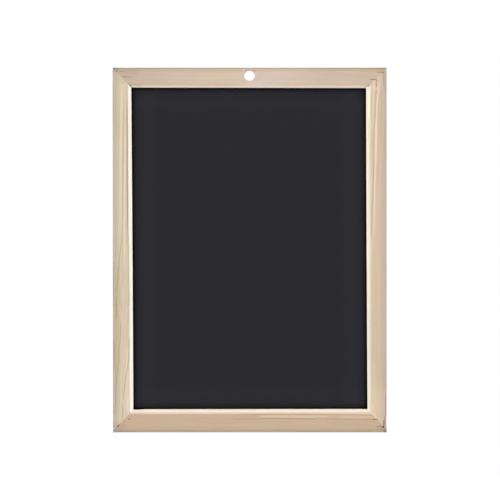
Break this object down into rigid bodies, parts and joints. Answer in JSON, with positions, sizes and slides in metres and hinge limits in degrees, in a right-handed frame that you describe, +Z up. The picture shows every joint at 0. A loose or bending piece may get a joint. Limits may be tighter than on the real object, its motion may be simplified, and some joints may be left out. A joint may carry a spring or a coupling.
{
  "type": "chalkboard",
  "caption": "Upright chalkboard panel with a matte black writing face, held in a mitred moulded pine frame with a hanging hole through the top rail.",
  "frame": {"origin": "centre of the hanging hole, on the plane of the frame's back, where the board touches the wall", "axes": "+Z up along the board's height, +Y from the writing face towards the wall along the hole, +X to the right seen from the front"},
  "size_m": [0.3, 0.012, 0.4],
  "materials": {
    "pine": "satin",
    "hardboard": "matte",
    "chalk_face": "matte",
    "nail_steel": "satin"
  },
  "bodies": {
    "root": {"top_rail": "pine", "bottom_rail": "pine", "left_stile": "pine", "right_stile": "pine", "board_core": "hardboard", "writing_surface": "chalk_face", "v_nail_top_left_1": "nail_steel", "v_nail_top_left_2": "nail_steel", "v_nail_top_right_1": "nail_steel", "v_nail_top_right_2": "nail_steel", "v_nail_bottom_left_1": "nail_steel", "v_nail_bottom_left_2": "nail_steel", "v_nail_bottom_right_1": "nail_steel", "v_nail_bottom_right_2": "nail_steel"}
  },
  "joints": []
}
